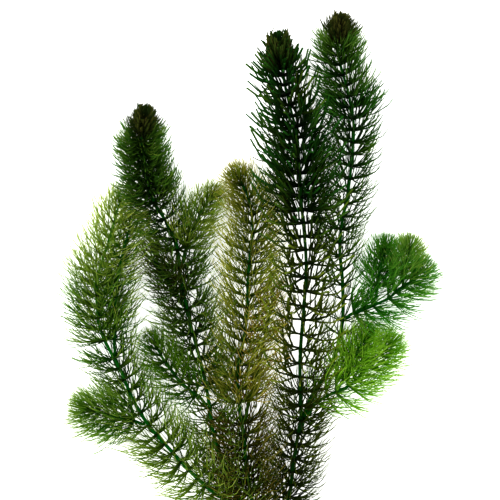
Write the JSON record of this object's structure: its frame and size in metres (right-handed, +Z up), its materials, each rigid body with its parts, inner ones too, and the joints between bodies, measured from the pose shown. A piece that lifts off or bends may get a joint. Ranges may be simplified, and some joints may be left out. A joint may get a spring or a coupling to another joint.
{
  "type": "hornwort",
  "caption": "Cut, branching piece of hornwort that lies on a flat surface, its thin stems set with whorls of slender forked leaves and ending in tight bushy tips.",
  "frame": {"origin": "centre of the plant's box, on the surface that it lies on", "axes": "+Y along the plant from its cut end to its tips, +X to its right seen from above, +Z up from the surface"},
  "size_m": [0.2192, 0.2976, 0.0536],
  "materials": {
    "dark_stem": "satin, near-black green leaf",
    "pale_stem": "satin, olive leaf",
    "left_stem": "satin, deep green leaf",
    "outer_left_stem": "satin, green leaf",
    "outer_left_shoot": "satin, fresh green leaf",
    "outer_left_high_shoot": "satin, green leaf",
    "left_low_shoot": "satin, green leaf",
    "left_middle_shoot": "satin, deep green leaf",
    "left_high_shoot": "satin, light green leaf",
    "pale_side_shoot": "satin, yellow-olive leaf",
    "right_stem": "satin, deep green leaf",
    "low_right_shoot": "satin, fresh green leaf",
    "low_right_twig": "satin, fresh green leaf",
    "right_side_shoot": "satin, green leaf",
    "right_inner_twig": "satin, deep green leaf",
    "right_outer_twig": "satin, light green leaf",
    "growing_tip": "satin, brownish young leaf"
  },
  "bodies": {
    "root": {"cut_base": "dark_stem", "dark_stem_lower": "dark_stem", "dark_stem_upper": "dark_stem", "dark_stem_tip": "growing_tip", "left_limb": "pale_stem", "pale_stem_lower": "pale_stem", "pale_stem_upper": "pale_stem", "pale_stem_tip": "pale_stem", "pale_side_shoot": "pale_side_shoot", "pale_side_shoot_tip": "pale_side_shoot", "outer_left_limb": "left_stem", "left_stem_lower": "left_stem", "left_stem_middle": "left_stem", "left_stem_high": "left_stem", "left_stem_upper": "left_stem", "left_stem_tip": "growing_tip", "left_low_shoot": "left_low_shoot", "left_low_shoot_tip": "left_low_shoot", "left_middle_shoot": "left_middle_shoot", "left_middle_shoot_tip": "left_middle_shoot", "left_high_shoot": "left_high_shoot", "left_high_shoot_tip": "left_high_shoot", "outer_left_stem_lower": "outer_left_stem", "outer_left_stem_middle": "outer_left_stem", "outer_left_stem_upper": "outer_left_stem", "outer_left_stem_tip": "outer_left_stem", "outer_left_shoot": "outer_left_shoot", "outer_left_shoot_tip": "outer_left_shoot", "outer_left_high_shoot": "outer_left_high_shoot", "outer_left_high_shoot_tip": "outer_left_high_shoot", "right_limb": "right_stem", "right_stem_lower": "right_stem", "right_stem_upper": "right_stem", "right_stem_tip": "growing_tip", "low_right_shoot_lower": "low_right_shoot", "low_right_shoot_upper": "low_right_shoot", "low_right_shoot_tip": "low_right_shoot", "low_right_twig": "low_right_twig", "low_right_twig_tip": "low_right_twig", "right_side_shoot_lower": "right_side_shoot", "right_side_shoot_middle": "right_side_shoot", "right_side_shoot_upper": "right_side_shoot", "right_side_shoot_tip": "right_side_shoot", "right_inner_twig": "right_inner_twig", "right_inner_twig_tip": "right_inner_twig", "right_outer_twig": "right_outer_twig", "right_outer_twig_tip": "right_outer_twig"}
  },
  "joints": []
}
